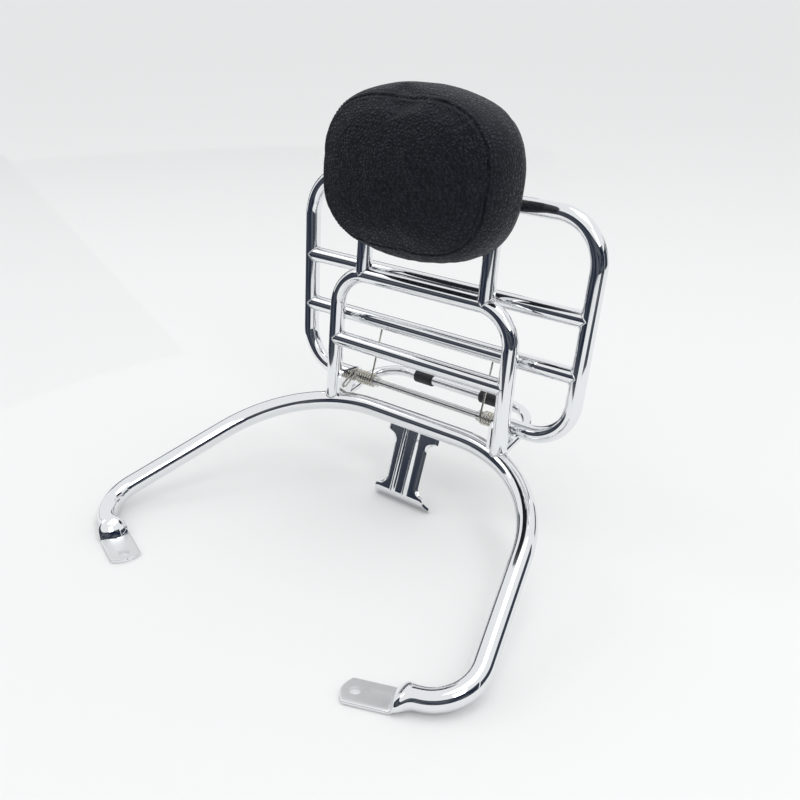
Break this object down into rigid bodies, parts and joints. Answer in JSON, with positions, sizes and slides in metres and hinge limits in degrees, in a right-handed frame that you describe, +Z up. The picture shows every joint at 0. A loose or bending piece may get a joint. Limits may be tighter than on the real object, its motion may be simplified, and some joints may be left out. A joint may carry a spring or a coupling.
{
  "type": "sissy bar with folding carrier",
  "caption": "Chromed scooter backrest: a bent hoop with bolt-down tabs carries a padded backrest and a sprung fold-down luggage carrier.",
  "frame": {"origin": "on the floor under the middle of the box, with the mounting tabs and the bracket's foot on the floor", "axes": "+X across, to the right of a person who faces the pad's front; +Y to the rear, where the carrier folds; +Z up"},
  "size_m": [0.5162, 0.4024, 0.4691],
  "materials": {
    "chrome": "polished",
    "zinc_steel": "zinc plated",
    "spring_steel": "plated wire",
    "rubber": "matte",
    "black_leather": "pebbled, satin",
    "foam": "open cell",
    "board": "matte"
  },
  "bodies": {
    "rack": {"main_hoop": "chrome", "left_tab": "chrome", "right_tab": "chrome", "tail_bracket": "chrome", "backrest_hoop": "chrome", "backrest_crossbar": "chrome", "left_pad_post": "chrome", "right_pad_post": "chrome", "support_loop": "chrome", "left_buffer": "rubber", "right_buffer": "rubber", "left_pivot_ear": "chrome", "right_pivot_ear": "chrome", "pivot_rod": "zinc_steel", "left_collar": "zinc_steel", "right_collar": "zinc_steel", "left_spring": "spring_steel", "right_spring": "spring_steel", "pad_cover": "black_leather", "pad_foam": "foam", "pad_board": "board", "pad_screws": "zinc_steel"},
    "carrier": {"carrier_frame": "chrome", "carrier_upper_tube": "chrome", "carrier_lower_tube": "chrome", "left_hinge_bush": "zinc_steel", "right_hinge_bush": "zinc_steel"}
  },
  "joints": [
    {"name": "carrier_fold", "type": "hinge", "parent": "rack", "child": "carrier", "pos_m": [0, 0.1316, 0.11882], "axis": [-1, 0, 0], "range_deg": [0, 81.9], "stiffness_Nm_per_rad": 1.2, "springref_deg": -51.57, "deforming": ["left_spring", "right_spring"]}
  ]
}
